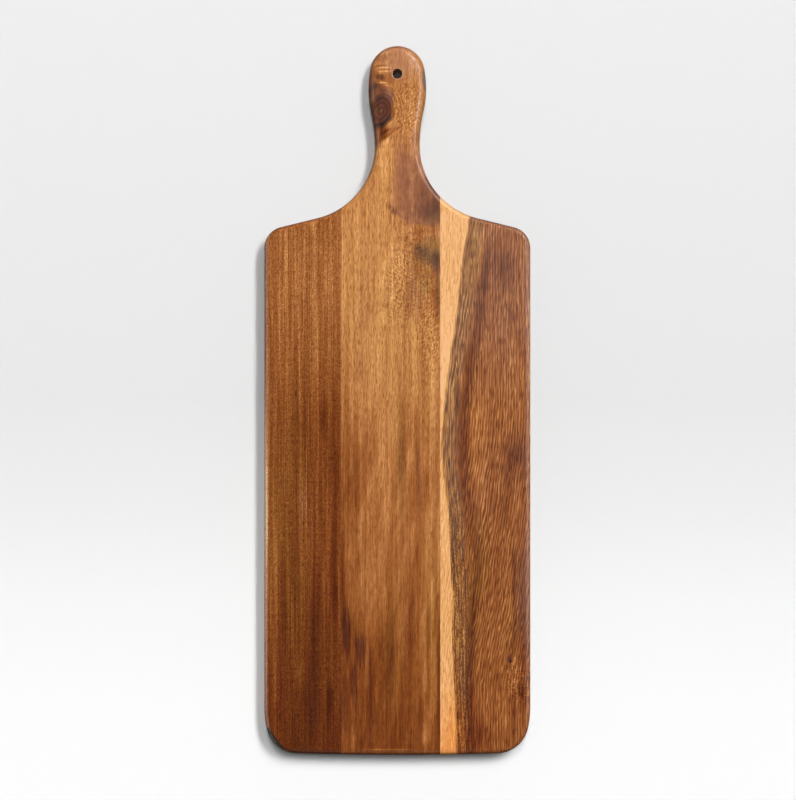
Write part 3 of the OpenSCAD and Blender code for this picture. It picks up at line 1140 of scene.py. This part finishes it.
def floor():
    """A paper floor, whitest towards the foot of the board."""
    shape = bmesh.new()
    reach = 6.0
    corners = [(-reach, -reach), (reach, -reach), (reach, reach), (-reach, reach)]
    shape.faces.new([shape.verts.new((x, y, 0)) for x, y in corners])
    ground = new_object("paper_floor", shape)
    paper = Finish(bpy.data.materials.new("paper"))
    inside = paper.node("ShaderNodeTexCoord", {}, {}, output="Object")
    picture_foot = -0.345
    picture_length = 0.69
    share = (paper.part(inside, "Y") - picture_foot) / picture_length
    colour = paper.ramp(share, [
        (0.0, (0.945, 0.945, 0.945)),
        (0.12, (0.94, 0.94, 0.94)),
        (0.25, (0.9, 0.9, 0.9)),
        (0.37, (0.83, 0.83, 0.83)),
        (0.5, (0.785, 0.785, 0.785)),
        (0.75, (0.805, 0.805, 0.805)),
        (1.0, (0.83, 0.83, 0.83)),
    ])
    surface = paper.node("ShaderNodeBsdfPrincipled", {}, {
        "Base Color": colour,
        "Roughness": 0.9,
        "Specular IOR Level": 0.0,
    })
    paper.node("ShaderNodeOutputMaterial", {}, {"Surface": surface})
    ground.data.materials.append(paper.owner)


def sun(name, east, north, share, spread, lights="both"):
    """A far lamp towards (east, north, 1), which lights the floor by a share of full light."""
    lamp = bpy.data.lights.new(name, "SUN")
    towards = Vector((east, north, 1)).normalized()
    lamp.energy = math.pi * share / towards.z
    lamp.angle = math.radians(spread)
    lamp.cycles.max_bounces = 0
    thing = bpy.data.objects.new(name, lamp)
    thing.rotation_mode = "QUATERNION"
    thing.rotation_quaternion = towards.to_track_quat("Z", "Y")
    thing.visible_glossy = lights != "colour"
    thing.visible_diffuse = lights != "gloss"
    bpy.context.scene.collection.objects.link(thing)


def studio():
    """Strips of lamps right of the handle and beyond it, lamps that only gleam, and dim walls."""
    for i, (north, share) in enumerate([(0.3, 0.1), (0.5, 0.2), (0.7, 0.2), (0.9, 0.08)]):
        sun(f"key_strip_{i}", 0.56, north, share, 11, "colour")
    for i, (north, share) in enumerate([(0.35, 0.09), (0.55, 0.14), (0.75, 0.08)]):
        sun(f"north_strip_{i}", 0, north, share, 9, "colour")
    sun("overhead", 0, 0, 0.04, 20, "colour")
    for i, turn in enumerate([0, 25, 50]):
        away = math.radians(turn)
        sun(f"edge_gleam_{i}", 1.5 * math.cos(away), 1.5 * math.sin(away), 0.18, 8, "gloss")
    sun("left_gleam", -3.0, -0.4, 0.07, 40, "gloss")
    sun("foot_gleam", 0.1, -0.9, 0.04, 6, "gloss")
    walls = Finish(bpy.data.worlds.new("studio_walls"))
    towards = walls.node("ShaderNodeTexCoord", {}, {}, output="Generated")
    east = walls.part(towards, "X")
    north = walls.part(towards, "Y")
    height = walls.part(towards, "Z")
    glow = walls.ramp(height, [
        (0.0, (0.8, 0.8, 0.8)),
        (0.2, (0.5, 0.5, 0.5)),
        (0.45, (0.13, 0.13, 0.13)),
        (0.9, (0.1, 0.1, 0.1)),
        (0.97, (0.02, 0.02, 0.02)),
    ])
    west_wall = walls.fade(east, -0.3, -0.8) * walls.fade(height, 0.3, 0.15)
    glow = walls.blend(walls.fade(north, 0, -0.5), glow, (0.06, 0.06, 0.06, 1))
    glow = walls.blend(west_wall, glow, (0.6, 0.6, 0.6, 1))
    lit = walls.node("ShaderNodeBackground", {}, {"Color": glow, "Strength": 1.0})
    walls.node("ShaderNodeOutputWorld", {}, {"Surface": lit})
    bpy.context.scene.world = walls.owner


def camera():
    """Looks straight down, as the photograph does."""
    height = 1.75
    picture_side = 0.6879
    lens_side = 36.0
    silhouette_height = thickness - body_round
    data = bpy.data.cameras.new("camera")
    data.sensor_width = lens_side
    data.lens = lens_side * (height - silhouette_height) / picture_side
    thing = bpy.data.objects.new("camera", data)
    thing.location = (0.57 * MM, 0.13 * MM, height)
    bpy.context.scene.collection.objects.link(thing)
    bpy.context.scene.camera = thing


camera()
floor()
studio()
bpy.context.scene.view_settings.view_transform = "Standard"

dark_wood = dark_stave_wood()
honey_wood = honey_stave_wood()
brown_wood = brown_stave_wood()
glue = glue_finish()
stave("left_stave_timber", "left_stave", None, left_glue_low.x, dark_wood)
stave(
    "centre_stave_timber",
    "centre_stave",
    left_glue_high.x,
    right_glue_low.x,
    honey_wood,
    drilled=True,
)
stave("right_stave_timber", "right_stave", right_glue_high.x, None, brown_wood)
stave("left_glue_film", "left_glue_line", left_glue_low.x, left_glue_high.x, glue)
stave("right_glue_film", "right_glue_line", right_glue_low.x, right_glue_high.x, glue)
